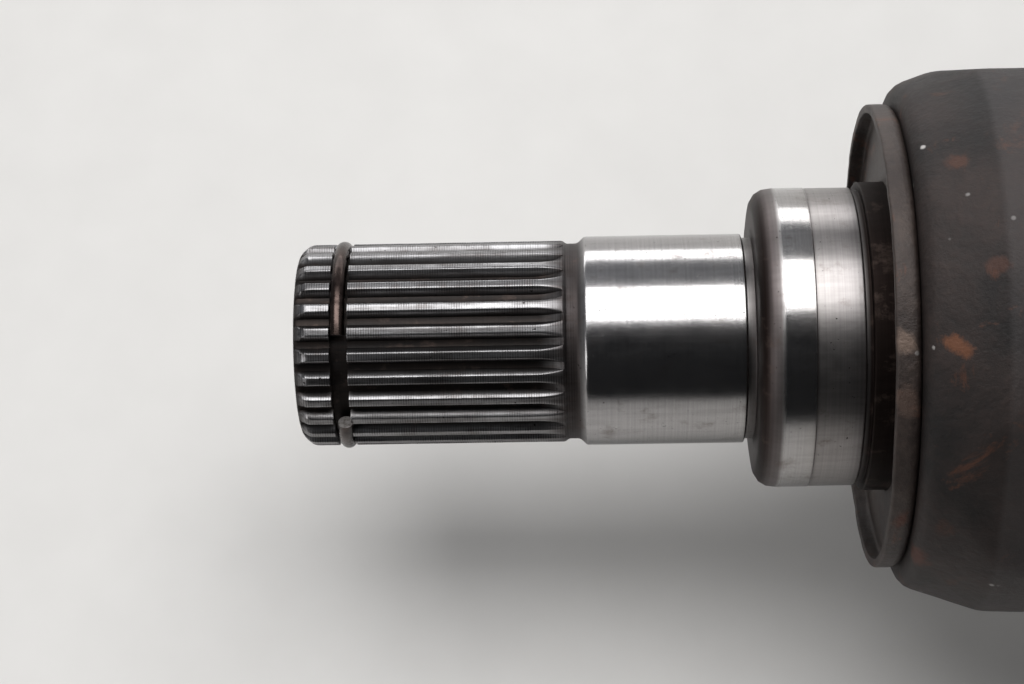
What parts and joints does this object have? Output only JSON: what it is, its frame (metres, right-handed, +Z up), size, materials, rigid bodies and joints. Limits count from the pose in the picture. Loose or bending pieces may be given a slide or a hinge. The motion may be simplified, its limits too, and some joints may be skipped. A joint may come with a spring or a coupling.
{
  "type": "half shaft",
  "caption": "Car half shaft: splined gearbox stub on a tripod joint housing, axle bar with ribbed rubber boots and band clamps, and a fixed ball joint with a splined, threaded wheel stub.",
  "frame": {"origin": "on the shaft's axis, in the middle of the ground band that the gearbox seal runs on", "axes": "+X along the shaft from the gearbox spline to the wheel thread, +Z up through the housing's first roller track"},
  "size_m": [0.6395, 0.092, 0.092],
  "materials": {
    "forged_steel": "forged scale with light rust, ground and hobbed at the stub",
    "spring_wire": "drawn spring steel, lightly tarnished",
    "pressed_sheet": "pressed mild steel sheet, dull, rust at the cut edge",
    "moulded_plastic": "moulded black thermoplastic",
    "boot_elastomer": "blow-moulded black elastomer",
    "clamp_band": "crimped stainless strip",
    "bearing_steel": "hardened and ground, greased",
    "painted_bar": "black paint, splines left bare"
  },
  "bodies": {
    "gearbox_side": {"inner_housing": "forged_steel", "stub_circlip": "spring_wire", "dust_shield": "pressed_sheet", "trilobal_bushing": "moulded_plastic", "inner_boot": "boot_elastomer", "inner_boot_large_clamp": "clamp_band"},
    "slider": {"needle_rollers_1": "bearing_steel"},
    "first_roller": {"roller_1": "bearing_steel"},
    "shaft": {"spider": "bearing_steel", "axle_bar": "painted_bar", "needle_rollers_2": "bearing_steel", "needle_rollers_3": "bearing_steel", "roller_washers": "pressed_sheet", "trunnion_circlips": "spring_wire", "spider_circlip": "spring_wire", "spider_stop_ring": "spring_wire", "race_snap_ring": "spring_wire", "inner_race": "bearing_steel", "inner_boot_small_clamp": "clamp_band", "outer_boot": "boot_elastomer", "outer_boot_small_clamp": "clamp_band"},
    "second_roller": {"roller_2": "bearing_steel"},
    "third_roller": {"roller_3": "bearing_steel"},
    "race_side_pivot": {"ball_1": "bearing_steel"},
    "cage_set": {"cage": "bearing_steel", "ball_2": "bearing_steel", "ball_3": "bearing_steel", "ball_5": "bearing_steel", "ball_6": "bearing_steel"},
    "bell_side_pivot": {"ball_4": "bearing_steel"},
    "wheel_side": {"outer_bell": "forged_steel", "outer_boot_large_clamp": "clamp_band"}
  },
  "joints": [
    {"name": "inner_plunge", "type": "slide", "parent": "gearbox_side", "child": "slider", "axis": [1, 0, 0], "range_m": [-0.012, 0.012], "deforming": ["inner_boot"]},
    {"name": "roller_1_spin", "type": "hinge", "parent": "slider", "child": "first_roller", "pos_m": [0.063, 0, 0], "axis": [0, 0, 1], "range_deg": [-44, 44]},
    {"name": "inner_bend", "type": "hinge", "parent": "slider", "child": "shaft", "pos_m": [0.063, 0, 0], "axis": [0, 0, 1], "range_deg": [-14, 14]},
    {"name": "roller_2_spin", "type": "hinge", "parent": "shaft", "child": "second_roller", "pos_m": [0.063, 0, 0], "axis": [0, -0.866, -0.5], "range_deg": [-44, 44]},
    {"name": "roller_3_spin", "type": "hinge", "parent": "shaft", "child": "third_roller", "pos_m": [0.063, 0, 0], "axis": [0, 0.866, -0.5], "range_deg": [-44, 44]},
    {"name": "outer_steer_in", "type": "hinge", "parent": "shaft", "child": "race_side_pivot", "pos_m": [0.455, 0, 0], "axis": [0, 0, 1], "range_deg": [-18, 18], "deforming": ["outer_boot"]},
    {"name": "outer_bump_in", "type": "hinge", "parent": "race_side_pivot", "child": "cage_set", "pos_m": [0.455, 0, 0], "axis": [0, 1, 0], "range_deg": [-8, 8]},
    {"name": "outer_bump_out", "type": "hinge", "parent": "cage_set", "child": "bell_side_pivot", "pos_m": [0.455, 0, 0], "axis": [0, 1, 0], "range_deg": [-8, 8]},
    {"name": "outer_steer_out", "type": "hinge", "parent": "bell_side_pivot", "child": "wheel_side", "pos_m": [0.455, 0, 0], "axis": [0, 0, 1], "range_deg": [-18, 18]}
  ],
  "couplings": [
    {"joint": "roller_1_spin", "follows": "inner_plunge", "rad_per_m": 60.606},
    {"joint": "roller_2_spin", "follows": "inner_plunge", "rad_per_m": 60.606},
    {"joint": "roller_3_spin", "follows": "inner_plunge", "rad_per_m": 60.606},
    {"joint": "outer_bump_out", "follows": "outer_bump_in", "ratio": 1},
    {"joint": "outer_steer_out", "follows": "outer_steer_in", "ratio": 1}
  ]
}
